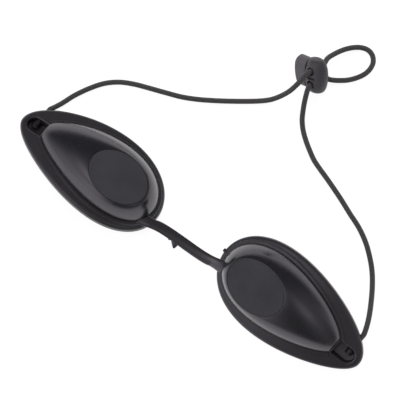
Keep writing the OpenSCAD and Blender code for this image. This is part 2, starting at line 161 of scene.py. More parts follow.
def make_camera():
    """The photograph's view, from above the cheek side."""
    az, el, roll = (math.radians(a) for a in CAMERA_TURN)
    back = Vector((math.sin(az) * math.cos(el), -math.cos(az) * math.cos(el), math.sin(el)))
    level = Vector((math.cos(az), math.sin(az), 0))
    high = back.cross(level)
    right = level * math.cos(roll) + high * math.sin(roll)
    up = high * math.cos(roll) - level * math.sin(roll)
    data = bpy.data.cameras.new("camera")
    data.sensor_width, data.lens = SENSOR, LENS
    data.clip_start, data.clip_end = 0.01, 20
    camera = bpy.data.objects.new("camera", data)
    bpy.context.scene.collection.objects.link(camera)
    place = Matrix((right, up, back)).transposed().to_4x4()
    place.translation = Vector(CAMERA_AIM) * MM + back * CAMERA_AWAY
    camera.matrix_world = place
    bpy.context.scene.camera = camera


make_camera()
bpy.context.scene.view_settings.view_transform = "Standard"


# Materials
class Nodes:
    """Short way to build the nodes of a material or the world."""

    def __init__(self, owner, shader):
        owner.use_nodes = True
        self.owner, self.tree = owner, owner.node_tree
        self.shader = self.tree.nodes[shader]

    def add(self, kind, **values):
        node = self.tree.nodes.new(kind)
        for key, value in values.items():
            if key in node.inputs:
                node.inputs[key].default_value = value
            else:
                setattr(node, key, value)
        return node

    def link(self, a, b):
        self.tree.links.new(a, b)

    def noise(self, vector, scale, detail=2.0, roughness=0.5):
        node = self.add("ShaderNodeTexNoise", Scale=scale, Detail=detail, Roughness=roughness)
        self.link(vector, node.inputs["Vector"])
        return node.outputs["Fac"]

    def ramp(self, fac, stops):
        node = self.add("ShaderNodeValToRGB")
        while len(node.color_ramp.elements) < len(stops):
            node.color_ramp.elements.new(0.5)
        for element, (place, colour) in zip(node.color_ramp.elements, stops):
            element.position, element.color = place, (*colour, 1)
        self.link(fac, node.inputs["Fac"])
        return node.outputs["Color"]

    def span(self, fac, low, high, start=0.0, end=1.0):
        node = self.add("ShaderNodeMapRange")
        for key, value in (("From Min", start), ("From Max", end), ("To Min", low), ("To Max", high)):
            node.inputs[key].default_value = value
        self.link(fac, node.inputs["Value"])
        return node.outputs["Result"]

    def bump(self, height, strength, distance, under=None):
        node = self.add("ShaderNodeBump", Strength=strength, Distance=distance)
        self.link(height, node.inputs["Height"])
        if under is not None:
            self.link(under, node.inputs["Normal"])
        return node.outputs["Normal"]

    def maths(self, kind, *values):
        """Each value is a number or another node's output."""
        node = self.add("ShaderNodeMath", operation=kind)
        for value, socket in zip(values, node.inputs):
            if isinstance(value, (int, float)):
                socket.default_value = value
            else:
                self.link(value, socket)
        return node.outputs[0]


def new_material(name):
    return Nodes(bpy.data.materials.new(name), "Principled BSDF")


DUST, SHEEN_TINT = (0.22, 0.21, 0.2, 1), (0.94, 0.89, 1.0, 1)


def plastic(name, colour, rough, grain, ripple=0.0, dust=0.0, specular=0.5):
    """Moulded plastic: colour and roughness drift over centimetres, a fine grain of that depth
    in metres, a slow ripple of the mould, and dust specks."""
    n = new_material(name)
    coords = n.add("ShaderNodeTexCoord").outputs["Object"]
    drift = n.noise(coords, 60, 4)
    fine = n.noise(coords, 5200, 3, 0.65)
    dark, light = [tuple(c * k for c in colour) for k in (0.84, 1.16)]
    base = n.ramp(drift, [(0.3, dark), (0.7, light)])
    if dust:
        specks = n.noise(coords, 1500, 0)
        mask = n.span(specks, 0, dust, 0.81, 0.86)
        mix = n.add("ShaderNodeMix", data_type="RGBA")
        n.link(mask, mix.inputs[0])
        n.link(base, mix.inputs[6])
        mix.inputs[7].default_value = DUST
        base = mix.outputs[2]
    n.link(base, n.shader.inputs["Base Color"])
    smear = n.noise(coords, 210, 5, 0.6)
    n.link(n.span(smear, rough * 0.82, rough * 1.22, 0.25, 0.75), n.shader.inputs["Roughness"])
    n.shader.inputs["Specular IOR Level"].default_value = specular
    n.shader.inputs["Specular Tint"].default_value = SHEEN_TINT
    normal = n.bump(fine, 1.0, grain)
    if ripple:
        slow = n.noise(coords, 95, 1)
        normal = n.bump(slow, 1.0, ripple, normal)
    n.link(normal, n.shader.inputs["Normal"])
    return n.owner


def woven(name, colour):
    """Braided elastic cord: two families of yarns that pass over and under, from the tube's
    own coordinates (yarns round it, and crossings along it)."""
    n = new_material(name)
    uv = n.add("ShaderNodeUVMap", uv_map="braid").outputs["UV"]
    split = n.add("ShaderNodeSeparateXYZ")
    n.link(uv, split.inputs[0])
    turn, along = split.outputs["X"], split.outputs["Y"]
    a = n.maths("ADD", turn, along)
    b = n.maths("SUBTRACT", turn, along)
    # 0 where the first family of yarns is on top and 1 where the second is
    parity = n.maths("PINGPONG", n.maths("ADD", n.maths("FLOOR", a), n.maths("FLOOR", b)), 1.0)

    def wave(place, sharpness):
        half_turn = n.maths("MULTIPLY", n.maths("FRACT", place), math.pi)
        return n.maths("POWER", n.maths("SINE", half_turn), sharpness)

    def yarn(across, lengthwise):
        return n.maths("MULTIPLY", wave(across, 0.7), wave(lengthwise, 0.45))

    mix = n.add("ShaderNodeMix", data_type="FLOAT")
    n.link(parity, mix.inputs[0])
    n.link(yarn(a, b), mix.inputs[2])
    n.link(yarn(b, a), mix.inputs[3])
    height = mix.outputs[0]
    coords = n.add("ShaderNodeTexCoord").outputs["Object"]
    fuzz = n.noise(coords, 9000, 3, 0.7)
    # Base colour follows the yarns' height: painted shade in the low gaps between yarns and a painted
    # highlight on their crests
    dark, mid, light = [tuple(c * k for c in colour) for k in (0.35, 0.9, 1.35)]
    painted_braid_shade = n.ramp(height, [(0.05, dark), (0.55, mid), (1.0, light)])
    n.link(painted_braid_shade, n.shader.inputs["Base Color"])
    n.link(n.span(fuzz, 0.62, 0.88, 0.3, 0.7), n.shader.inputs["Roughness"])
    n.shader.inputs["Specular IOR Level"].default_value = 0.35
    n.shader.inputs["Sheen Weight"].default_value = 0.25
    n.shader.inputs["Sheen Roughness"].default_value = 0.45
    n.link(n.bump(fuzz, 0.5, 0.00003, n.bump(height, 1.0, 0.00012)), n.shader.inputs["Normal"])
    return n.owner


def metal(name, colour, rough):
    """Drawn wire, with fine marks in its colour, roughness and height."""
    n = new_material(name)
    coords = n.add("ShaderNodeTexCoord").outputs["Object"]
    drawn = n.noise(coords, 2600, 4, 0.6)
    dark, light = [tuple(c * k for c in colour) for k in (0.8, 1.1)]
    n.link(n.ramp(drawn, [(0.3, dark), (0.7, light)]), n.shader.inputs["Base Color"])
    n.link(n.span(drawn, rough * 0.8, rough * 1.25, 0.3, 0.7), n.shader.inputs["Roughness"])
    n.shader.inputs["Metallic"].default_value = 1.0
    n.link(n.bump(drawn, 0.4, 0.00001), n.shader.inputs["Normal"])
    return n.owner


GLOSS = plastic("cup_gloss", (0.0086, 0.0080, 0.0106), 0.24, 0.0000004,
                ripple=0.00002, dust=0.12, specular=1.0)
SATIN = plastic("cup_satin", (0.0260, 0.0240, 0.0277), 0.33, 0.000003, dust=0.2, specular=0.6)
STRIP = plastic("strip_satin", (0.0230, 0.0212, 0.0242), 0.22, 0.000002, specular=1.0)
DISC = plastic("disc_matte", (0.054, 0.053, 0.060), 0.60, 0.000010, dust=0.15, specular=0.2)
SLEEVE = plastic("sleeve_dark", (0.013, 0.012, 0.014), 0.45, 0.000005)
LOCK = plastic("lock_matte", (0.057, 0.054, 0.060), 0.46, 0.000008)
BUTTON = plastic("button_matte", (0.118, 0.113, 0.126), 0.50, 0.000008)
CORD = woven("cord_braid", (0.077, 0.072, 0.076))
STEEL = metal("spring_steel", (0.55, 0.55, 0.56), 0.28)


# Meshes
def put(name, points, faces, materials, which=None, crease=40):
    """A mesh object from points in millimetres, smooth but for edges sharper than crease."""
    mesh = bpy.data.meshes.new(name)
    mesh.from_pydata((np.asarray(points, float) * MM).tolist(), [], [list(map(int, f)) for f in faces])
    for material in materials:
        mesh.materials.append(material)
    if which is not None:
        mesh.polygons.foreach_set("material_index", np.asarray(which, np.int32))
    mesh.validate()
    obj = bpy.data.objects.new(name, mesh)
    bpy.context.scene.collection.objects.link(obj)
    smooth(obj, crease)
    return obj


def smooth(obj, crease):
    mesh = obj.data
    mesh.polygons.foreach_set("use_smooth", np.ones(len(mesh.polygons), bool))
    mesh.set_sharp_from_angle(angle=math.radians(crease))
    mesh.update()


def skin(rings, closed=False):
    """Points and quads of a surface through rings, each a closed loop of the same length.
    Open skins get flat ends."""
    rings = np.asarray(rings, float)
    steps, count = rings.shape[:2]
    faces = []
    for i in range(steps if closed else steps - 1):
        a, b = i * count, ((i + 1) % steps) * count
        faces += [(a + j, a + (j + 1) % count, b + (j + 1) % count, b + j) for j in range(count)]
    if not closed:
        faces.append(tuple(range(count - 1, -1, -1)))
        faces.append(tuple((steps - 1) * count + j for j in range(count)))
    return rings.reshape(-1, 3), faces


def outward(obj):
    """Turns all faces outward."""
    work = bmesh.new()
    work.from_mesh(obj.data)
    bmesh.ops.recalc_face_normals(work, faces=work.faces)
    work.to_mesh(obj.data)
    work.free()
    obj.data.update()
    return obj


def apply(obj, step):
    """Turns a modifier's result into the object's mesh, and gives that mesh."""
    bpy.context.view_layer.update()
    done = bpy.data.meshes.new_from_object(obj.evaluated_get(bpy.context.evaluated_depsgraph_get()))
    obj.modifiers.remove(step)
    old, obj.data = obj.data, done
    bpy.data.meshes.remove(old)
    return done


def moved(obj, to_model):
    """Moves a mesh by a function of points in millimetres, and turns its faces outward."""
    co = np.empty(len(obj.data.vertices) * 3)
    obj.data.vertices.foreach_get("co", co)
    co = to_model(co.reshape(-1, 3) / MM) * MM
    obj.data.vertices.foreach_set("co", co.ravel())
    obj.data.update()
    return outward(obj)


def carve(obj, cutters, kind="DIFFERENCE"):
    """Cuts or joins the cutters with obj, and removes them."""
    for cutter in cutters:
        outward(cutter)
        step = obj.modifiers.new("cut", "BOOLEAN")
        step.operation, step.solver, step.object = kind, "EXACT", cutter
        done = apply(obj, step)
        done.name = obj.name
        bpy.data.objects.remove(cutter)
    return obj


def round_edges(obj, width, angle=40, segments=3):
    """Rounds the edges sharper than that angle, width in millimetres."""
    step = obj.modifiers.new("round", "BEVEL")
    step.width, step.segments, step.limit_method = width * MM, segments, "ANGLE"
    step.angle_limit, step.use_clamp_overlap, step.harden_normals = math.radians(angle), True, False
    apply(obj, step)
    return obj


def finish_piece(obj, nodes, body=None):
    """Hides the CAD nodes that a piece replaces, and gives the piece the body that carries it."""
    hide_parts(*nodes)
    if body:
        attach(obj, body)
    return obj


# Cord, with the values of the lock that it passes through
LOCK_AT, LOCK_TURN = (2.4, 89.0, 9.35), (-51.0, 28.5, -174.5)
LOCK_LENGTH, LOCK_WIDTH, LOCK_DEPTH, LOCK_PITCH = 16.0, 11.6, 8.4, 6.6
BLOCK_LENGTH, BLOCK_WIDTH, BUTTON_TRAVEL = 14.2, 6.0, 1.6
CROWN_REACH, CROWN_R, CROWN_SHIFT = 10.05, 19.3, 2.0
STEM_WALL, STEM_CLEAR = 3.6, 0.2
HOLE_X, HOLE_R = 0.2, 1.65


def lock_point(p):
    """The lock's own axes to the model's axes."""
    p = np.asarray(p, float)
    a, b, c = (math.radians(v) for v in LOCK_TURN)
    x, y, z = p[..., 0], p[..., 1], p[..., 2]
    y, z = y * math.cos(a) - z * math.sin(a), y * math.sin(a) + z * math.cos(a)
    x, z = x * math.cos(b) + z * math.sin(b), -x * math.sin(b) + z * math.cos(b)
    x, y = x * math.cos(c) - y * math.sin(c), x * math.sin(c) + y * math.cos(c)
    return np.stack([x, y, z], -1) + np.array(LOCK_AT) - [0, MODEL_SHIFT, 0]


def hole_point(y, z):
    return lock_point([HOLE_X, y, z])


CORD_Z = bow(CORD_X) - CORD_DEPTH
# The cord's middle line from each cup to the lock, and round the free loop
LEFT_ROUTE = [
    (-83.6, 10, 1.25), (-82, 13.5, 1.2), (-79.7, 19.6, 1.2), (-76.2, 26.3, 1.2), (-72.2, 32, 1.2),
    (-67.2, 36.4, 1.2), (-61.3, 39.6, 1.2), (-54.7, 42.2, 1.2), (-47.5, 44.9, 1.2), (-40.4, 47.7, 1.2),
    (-33.8, 51.2, 1.2), (-29, 54.2, 1.2), (-24.5, 57.2, 1.2), (-20.1, 60.3, 1.2), (-15.6, 63.6, 1.2),
    (-12.6, 65.9, 1.3), (-9.7, 68.3, 1.7), (-7.7, 70.2, 2.5), (-5.8, 72.4, 4), (-4.1, 74.7, 6.1),
    (-2.7, 77.1, 8.5), (-1.4, 80.9, 12.1), (-1, 83.4, 13.6), (-0.9, 85, 14.1), (-0.6, 86.3, 14.1)]
RIGHT_ROUTE = [
    (84.7, 12.8, 7.8), (83.4, 16.3, 7.5), (81.7, 20, 6.3), (79.6, 24, 4.4), (77.1, 28.3, 2.7),
    (74.2, 32.6, 1.6), (71.7, 35.7, 1.2), (68.8, 38.6, 1.2), (63.1, 43.3, 1.2), (56.7, 47, 1.2),
    (49.8, 49.7, 1.2), (43.2, 52.4, 1.2), (37.8, 54.4, 1.2), (32.7, 56.2, 1.2), (27.8, 57.8, 1.2),
    (23.2, 59.5, 1.2), (19, 61.9, 1.2), (14.9, 64.6, 1.2), (11.2, 67.6, 1.5), (8.5, 70.6, 2.6),
    (6.7, 73.6, 4.5), (5.3, 76.4, 6.9), (4.1, 79.3, 9.1), (3.4, 81.2, 9.9), (3.1, 82.4, 10)]
LOOP_ROUTE = [
    (1.6, 97.6, 7.2), (1.6, 99.3, 6.2), (2.3, 101.8, 5), (3.6, 105.1, 3.7), (5.4, 108.2, 2.6),
    (7.6, 110.8, 1.8), (9.9, 112.5, 1.4), (12.8, 113.4, 1.2), (15.7, 112.7, 1.2), (18, 110.3, 1.2),
    (18.7, 107.5, 1.2), (18.4, 104.5, 1.2), (17.2, 101.7, 1.2), (15.4, 99, 1.2), (13.4, 96.8, 1.2),
    (11.2, 95, 1.3), (9.2, 93.5, 1.8), (7.3, 92.2, 3)]


def shifted(route):
    return np.array(route, float) - [0, MODEL_SHIFT, 0]


def through(points, step=0.4):
    """Smooth curve through the points, sampled every step millimetres."""
    p = np.asarray(points, float)
    p = np.vstack([2 * p[0] - p[1], p, 2 * p[-1] - p[-2]])
    knots = np.concatenate([[0], np.cumsum(np.linalg.norm(np.diff(p, axis=0), axis=1) ** 0.5)])
    out = []
    for i in range(1, len(p) - 2):
        t0, t1, t2, t3 = knots[i - 1:i + 3]
        n = max(2, int(round(np.linalg.norm(p[i + 1] - p[i]) / step)))
        t = np.linspace(t1, t2, n, endpoint=False)[:, None]
        a1 = (t1 - t) / (t1 - t0) * p[i - 1] + (t - t0) / (t1 - t0) * p[i]
        a2 = (t2 - t) / (t2 - t1) * p[i] + (t - t1) / (t2 - t1) * p[i + 1]
        a3 = (t3 - t) / (t3 - t2) * p[i + 1] + (t - t2) / (t3 - t2) * p[i + 2]
        b1 = (t2 - t) / (t2 - t0) * a1 + (t - t0) / (t2 - t0) * a2
        b2 = (t3 - t) / (t3 - t1) * a2 + (t - t1) / (t3 - t1) * a3
        out.append((t2 - t) / (t2 - t1) * b1 + (t - t1) / (t2 - t1) * b2)
    return np.vstack(out + [p[-2:-1]])


def tube_frames(path):
    way = unit(np.gradient(path, axis=0))
    side = unit(np.cross(way[0], [0, 0, 1.0]) + 1e-6)
    frames = []
    for w in way:
        side = unit(side - w * (side @ w))
        frames.append((side, np.cross(w, side)))
    return frames


# Yarns round the cord, crossings per millimetre along it, and sides of its tube
YARNS = 8
BRAID = YARNS / (2 * math.pi * CORD_R)
SIDES = 24


class Cord:
    """One line of cord that several pieces share, so that the braid runs on across them."""

    def __init__(self, points):
        self.path = through(points)
        self.frames = tube_frames(self.path)
        self.length = np.concatenate([[0], np.cumsum(np.linalg.norm(np.diff(self.path, axis=0), axis=1))])

    def near(self, point):
        return int(np.argmin(np.linalg.norm(self.path - np.asarray(point), axis=1)))

    def piece(self, name, a, b):
        """Tube from the sample a to the sample b."""
        angle = np.linspace(0, 2 * math.pi, SIDES, endpoint=False)
        rings = []
        for i in range(a, b + 1):
            u, v = self.frames[i]
            rings.append(self.path[i] + CORD_R * (np.cos(angle)[:, None] * u + np.sin(angle)[:, None] * v))
        points, faces = skin(rings)
        obj = put(name, points, faces, [CORD])
        layer = obj.data.uv_layers.new(name="braid")
        for poly in obj.data.polygons:
            if poly.loop_total != 4:
                continue
            wrap = {c % SIDES for c in poly.vertices} == {0, SIDES - 1}
            for loop, vertex in zip(poly.loop_indices, poly.vertices):
                ring, k = divmod(vertex, SIDES)
                k = SIDES if wrap and k == 0 else k
                layer.data[loop].uv = (k / SIDES * YARNS, self.length[a + ring] * BRAID)
        return obj


def tail_point(side, y):
    return placed(np.array([CORD_X, y, CORD_Z]), side)


# Along a cup's cord hole, and along the lock's cord holes
TAIL_START, TAIL_END = CHANNEL_R - SLEEVE_LENGTH - 0.7, 10.0
STRAND_FRONT, STRAND_BACK = 1.5, -4.5


def make_cords():
    pieces = {}
    for side, route in ((LEFT, LEFT_ROUTE), (RIGHT, RIGHT_ROUTE)):
        word, y = WORD[side], side * LOCK_PITCH / 2
        straight = [tail_point(side, v) for v in (TAIL_START, 2.5, 5, 7.5, TAIL_END, TAIL_END + 0.9)]
        inside = [hole_point(y, v) for v in (STRAND_FRONT + 1.3, STRAND_FRONT, 0, -1.5, -3, STRAND_BACK)]
        line = Cord(np.vstack([straight, shifted(route), inside]))
        a, b = line.near(tail_point(side, TAIL_END)), line.near(hole_point(y, STRAND_FRONT))
        tail = line.piece(f"{word}_cord_tail_braid", 0, a)
        run = line.piece(f"{word}_cord_run_braid", a, b)
        strand = line.piece(f"{word}_lock_strand_braid", b, len(line.path) - 1)
        finish_piece(tail, [f"{word}_cord_tail"], f"{word}_cup")
        finish_piece(run, [f"{word}_cord_run"])
        finish_piece(strand, [f"{word}_lock_strand"], "frame")
        pieces[word] = (line, a, b, run)
    ends = [[hole_point(side * LOCK_PITCH / 2, v) for v in (STRAND_BACK, STRAND_BACK - 1)]
            for side in (LEFT, RIGHT)]
    line = Cord(np.vstack([ends[0], shifted(LOOP_ROUTE), ends[1][::-1]]))
    loop = line.piece("cord_end_loop_braid", 0, len(line.path) - 1)
    finish_piece(loop, ["cord_end_loop"], "frame")
    for word, (whole, a, b, run) in pieces.items():
        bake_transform(run)


make_cords()


# Eye cups
AROUND = 224
THETA = np.linspace(0, 2 * math.pi, AROUND, endpoint=False)
WINDOW_ROUND, STEP_ROUND = 0.06, 0.28
CHANNEL_FLOOR = bow(CORD_X) - CHANNEL_DEPTH
# Rounding of the flange's edge round the channel: how far out, at which height
CHANNEL_EDGE = ((0, -0.95), (0.05, -0.62), (0.16, -0.34), (0.34, -0.14), (0.58, -0.02), (0.8, 0.06),
                (1.1, 1.5))
CUTTER_TOP = 12
# How far the flange's outer edge is rounded, inward and down
RIM_ROUND, RIM_FALL = 1.8, 1.25


def arc(start, end, steps):
    """Angles of a rounded corner, its ends left out."""
    return [math.radians(start + (end - start) * i / steps) for i in range(1, steps)]


def cup_rings():
    """Rings of a cup's skin, each with the material of the band that follows it:
    0 is the glossy dome and 1 the satin flange."""
    t = THETA
    foot = on_rim(foot_at(t, 0), STEP_HEIGHT)
    top = on_window(window_at(t, WINDOW_GAP + 0.12), 0)
    rings = []

    def add(ring, material):
        rings.append((ring, material))

    # Ledge under the disc, and the window's rounded edge
    add(on_window(window_at(t, -LEDGE_WIDTH), -WINDOW_DEPTH), 1)
    add(on_window(window_at(t, WINDOW_GAP - 0.1), -WINDOW_DEPTH), 1)
    add(on_window(window_at(t, WINDOW_GAP), -WINDOW_DEPTH + 0.1), 1)
    add(on_window(window_at(t, WINDOW_GAP), -WINDOW_ROUND), 1)
    for a in arc(0, 90, 4):
        out, down = WINDOW_ROUND * (1 - math.cos(a)), -WINDOW_ROUND + WINDOW_ROUND * math.sin(a)
        add(on_window(window_at(t, WINDOW_GAP + out), down), 1)
    add(on_window(window_at(t, WINDOW_GAP + 0.08), 0), 0)
    # Dome, from the window down, with the rings closer at the top
    for share in 1 - np.linspace(0, 1, 56) ** 1.15:
        add(dome_at(share, foot, top), 0)
    # Step round the dome's foot
    add(on_rim(foot_at(t, 0.08), STEP_HEIGHT - 0.01), 1)
    add(on_rim(foot_at(t, 0.5), STEP_HEIGHT - 0.03), 1)
    add(on_rim(foot_at(t, 0.95), STEP_HEIGHT - 0.06), 1)
    for a in arc(0, 90, 5):
        out, down = STEP_WIDTH - STEP_ROUND + STEP_ROUND * math.sin(a), STEP_ROUND * (1 - math.cos(a))
        add(on_rim(foot_at(t, out), STEP_HEIGHT - 0.06 - down), 1)
    add(on_rim(foot_at(t, STEP_WIDTH + 0.02), 0.5), 1)
    add(on_rim(foot_at(t, STEP_WIDTH + 0.07), 0.12), 1)
    add(on_rim(foot_at(t, STEP_WIDTH + 0.16), 0.02), 1)
    # Flange, its rounded outer edge and the turned-down lip
    wide = foot_at(t, STEP_WIDTH + 0.35)
    inner = rim_at(t, RIM_ROUND + 0.2)
    for w in np.linspace(0, 1, 7):
        add(on_rim(wide + (inner - wide) * w, 0), 1)
    for a in arc(0, 90, 12):
        add(on_rim(rim_at(t, RIM_ROUND * (1 - math.sin(a))), -RIM_FALL * (1 - math.cos(a))), 1)
    add(on_rim(rim_at(t, 0), -RIM_FALL - 0.05), 1)
    add(on_rim(rim_at(t, 0), -2.1), 1)
    add(on_rim(rim_at(t, 0), EDGE - LIP_DEPTH), 1)
    for a in arc(0, 90, 5):
        add(on_rim(rim_at(t, EDGE * (1 - math.cos(a))), EDGE - LIP_DEPTH - EDGE * math.sin(a)), 1)
    add(on_rim(rim_at(t, EDGE), -LIP_DEPTH), 1)
    add(on_rim(rim_at(t, LIP_WIDTH - EDGE), -LIP_DEPTH), 1)
    for a in arc(90, 0, 5):
        add(on_rim(rim_at(t, LIP_WIDTH - EDGE * (1 - math.cos(a))), EDGE - LIP_DEPTH - EDGE * math.sin(a)), 1)
    add(on_rim(rim_at(t, LIP_WIDTH), EDGE - LIP_DEPTH), 1)
    add(on_rim(rim_at(t, LIP_WIDTH), -FLANGE_WALL - 0.3), 1)
    add(on_rim(rim_at(t, LIP_WIDTH + 0.3), -FLANGE_WALL), 1)
    add(on_rim(foot_at(t, -EDGE / 2), -FLANGE_WALL), 1)
    # Inside of the dome
    inner_foot = on_rim(foot_at(t, -DOME_WALL), -FLANGE_WALL + EDGE)
    inner_top = on_window(window_at(t, WINDOW_GAP + EDGE), -WINDOW_DEPTH - LEDGE_WALL)
    for share in np.linspace(0, 1, 20):
        add(dome_at(share, inner_foot, inner_top), 1)
    add(on_window(window_at(t, -LEDGE_WIDTH), -WINDOW_DEPTH - LEDGE_WALL), 1)
    return rings


def channel_loop(grow, count=40):
    """Outline of the temple channel, in order round it, open end towards the dome."""
    r = CHANNEL_R + grow
    a = np.linspace(-math.pi / 2, math.pi / 2, count)
    back = CORD_X - CHANNEL_REACH - max(grow, 0)
    side = np.linspace(0, 1, 8)[1:]
    return np.array([(CORD_X + r * math.cos(v), r * math.sin(v)) for v in a]
                    + [(CORD_X + (back - CORD_X) * w, r) for w in side]
                    + [(back, r - 2 * r * w) for w in np.linspace(0, 1, 9)[1:]]
                    + [(back + (CORD_X - back) * w, -r) for w in side[:-1]])


def flat_ring(outline, z):
    """The outline at one height."""
    return np.c_[outline, np.full(len(outline), float(z))]


def channel_tool():
    """Cutter of the channel, which rounds the flange's edge round it."""
    floor_edge = ((0.35, 0), (0.1, 0.1), (0, 0.35))
    rings = [flat_ring(channel_loop(-inset), CHANNEL_FLOOR + up) for inset, up in floor_edge]
    rings += [on_rim(channel_loop(grow), z) for grow, z in CHANNEL_EDGE]
    return rings + [flat_ring(channel_loop(CHANNEL_EDGE[-1][0]), CUTTER_TOP)]


def prism(name, outline, low, high, materials):
    """Upright block on an outline, from the height low to high."""
    return put(name, *skin([flat_ring(outline, z) for z in (low, high)]), materials)


def rod(name, start, end, radius, sides=40, materials=()):
    """Round bar. Its radius is a number, or pairs of a share of its length and a radius."""
    start, end = np.asarray(start, float), np.asarray(end, float)
    way = unit(end - start)
    u = unit(np.cross(way, [0.3, 0.5, 0.81]))
    v = np.cross(way, u)
    a = np.linspace(0, 2 * math.pi, sides, endpoint=False)[:, None]
    circle = np.cos(a) * u + np.sin(a) * v
    if isinstance(radius, (int, float)):
        radius = [(0, radius), (1, radius)]
    rings = [start + (end - start) * w + circle * r for w, r in radius]
    return put(name, *skin(rings), list(materials))


def to_cup(obj, side):
    """Moves a mesh from a cup's own axes to the model's axes."""
    return moved(obj, lambda p: placed(p, side))


def make_cup(side):
    word = WORD[side]
    rings = cup_rings()
    points, faces = skin([ring for ring, _ in rings], closed=True)
    bands = np.repeat([material for _, material in rings], AROUND)
    cup = outward(put(f"{word}_eye_cup_skin", points, faces, [GLOSS, SATIN], bands))
    # Tub under the flange that holds the cord's end, with a sloped lower edge
    slope, bottom, grown = 0.4, CHANNEL_FLOOR - CHANNEL_WALL, channel_loop(CHANNEL_WALL)
    tub_rings = [flat_ring(channel_loop(CHANNEL_WALL - slope), bottom), flat_ring(grown, bottom + slope),
                 flat_ring(grown, bow(CORD_X) - FLANGE_WALL / 2 + 0.1)]
    cup = carve(cup, [put("tub", *skin(tub_rings), [SATIN])], "UNION")
    tool = put("tool", *skin(channel_tool()), [SATIN])
    r, start, end = CORD_R + CORD_CLEAR, CHANNEL_R + CHANNEL_WALL + EDGE, RIM_BROW
    hole = rod("hole", (CORD_X, 0, CORD_Z), (CORD_X, end, CORD_Z), r, 40, [SATIN])
    notch = prism("notch", [(CORD_X - r, start), (CORD_X + r, start), (CORD_X + r, end), (CORD_X - r, end)],
                  CORD_Z - LIP_DEPTH, CORD_Z, [SATIN])
    cup = carve(cup, [tool, hole, notch])
    cup = to_cup(cup, side)
    smooth(cup, 38)
    return finish_piece(cup, [f"{word}_eye_cup"], f"{word}_cup")


def make_disc(side):
    """Disc that nearly fills its window, with a sloped lower edge and a rounded upper one."""
    word = WORD[side]
    grow, slope, edge, count = 0.2, 0.3, 0.05, 160
    a, b = WINDOW_LENGTH / 2 + grow, WINDOW_WIDTH / 2 + grow
    t = np.linspace(0, 2 * math.pi, count, endpoint=False)

    def ring(inset, z):
        return np.stack([(a - inset) * np.cos(t), (b - inset) * np.sin(t), np.full(count, z)], -1)

    low, high = -WINDOW_DEPTH + 0.08, -0.04
    rings = [ring(slope, low), ring(0, low + slope), ring(0, high - edge)]
    for v in arc(0, 90, 4):
        rings.append(ring(edge * (1 - math.cos(v)), high - edge + edge * math.sin(v)))
    for inset in (0.06, 0.6, 1.2, 2.4, 4.2, 6.2, 8.2, 9.6):
        rings.append(ring(inset, high))
    points, faces = skin(rings)
    roll, pitch = math.radians(WINDOW_ROLL), math.radians(-WINDOW_PITCH)
    x, y, z = points.T
    y, z = y * math.cos(roll) - z * math.sin(roll), y * math.sin(roll) + z * math.cos(roll)
    x, z = x * math.cos(pitch) + z * math.sin(pitch), -x * math.sin(pitch) + z * math.cos(pitch)
    points = np.stack([x + WINDOW_X, y + WINDOW_Y, z + WINDOW_Z], -1)
    disc = to_cup(put(f"{word}_window_disc_matte", points, faces, [DISC]), side)
    smooth(disc, 60)
    return finish_piece(disc, [f"{word}_window_disc"], f"{word}_cup")


# Pinched waists of the sleeve: where they are along it, how long and how deep
WAISTS, WAIST_LENGTH, WAIST_DEPTH = (0.85, 1.75), 0.22, 0.16


def make_sleeve(side):
    """Sleeve crimped on the cord's end, with two pinched waists. It stops where the channel's
    round end leaves room for it."""
    word, count = WORD[side], 48
    stop = math.sqrt(CHANNEL_R ** 2 - (SLEEVE_R + 0.1) ** 2)
    t = np.linspace(0, 2 * math.pi, count, endpoint=False)
    rings = []
    inner, outer, length = CORD_R + 0.05, SLEEVE_R, SLEEVE_LENGTH
    profile = [(inner, 0.0), (outer - 0.2, 0.0), (outer - 0.06, 0.06), (outer, 0.22)]
    profile += [(outer, v) for v in np.linspace(0.3, length - 0.3, 22)]
    profile += [(outer, length - 0.22), (outer - 0.06, length - 0.06), (outer - 0.2, length), (inner, length)]
    for radius, along in profile:
        pinch = sum(math.exp(-((along - waist) / WAIST_LENGTH) ** 2) for waist in WAISTS)
        r = radius - WAIST_DEPTH * pinch * (radius > inner) * (0.5 + 0.5 * np.cos(2 * t))
        y = np.full(count, stop - length + along)
        rings.append(np.stack([CORD_X + r * np.cos(t), y, CORD_Z + r * np.sin(t)], -1))
    sleeve = to_cup(put(f"{word}_cord_sleeve_crimped", *skin(rings, closed=True), [SLEEVE]), side)
    smooth(sleeve, 50)
    return finish_piece(sleeve, [f"{word}_cord_sleeve"], f"{word}_cup")


for SIDE in (LEFT, RIGHT):
    make_cup(SIDE)
    make_disc(SIDE)
    make_sleeve(SIDE)


# Nose strip
# Where the strip leaves a cup's rim and where its lug on the flange ends, in the cup's own axes
ROOT_X = -(RIM_HALF + 1.2)
ROOT_Z = bow(ROOT_X) + STRIP_WALL / 2
LUG_END = -32.4
# Share of the strip at each end over which its sections turn square to the rim
TURN_SHARE = 0.15


def root_y(side):
    return -ROOT_DROP - side * ROOT_SHIFT


def root_point(side):
    return placed(np.array([ROOT_X, root_y(side), ROOT_Z]), side)


def root_heading(side, swing):
    """Direction out of a cup at its root, turned by swing degrees in the rim's plane."""
    a = math.radians(swing)
    ahead = np.array([ROOT_X - math.cos(a), root_y(side) - side * math.sin(a), ROOT_Z])
    return placed(ahead, side) - root_point(side)


def strip_at(s):
    """Point of the strip's middle line at the share s from the left root to the right one."""
    a, d, r = root_point(LEFT), root_point(RIGHT), 1 - s
    b = a + STRIP_PULL * root_heading(LEFT, STRIP_SWING)
    c = d + STRIP_PULL * root_heading(RIGHT, STRIP_SWING)
    return r ** 3 * a + 3 * r * r * s * b + 3 * r * s * s * c + s ** 3 * d


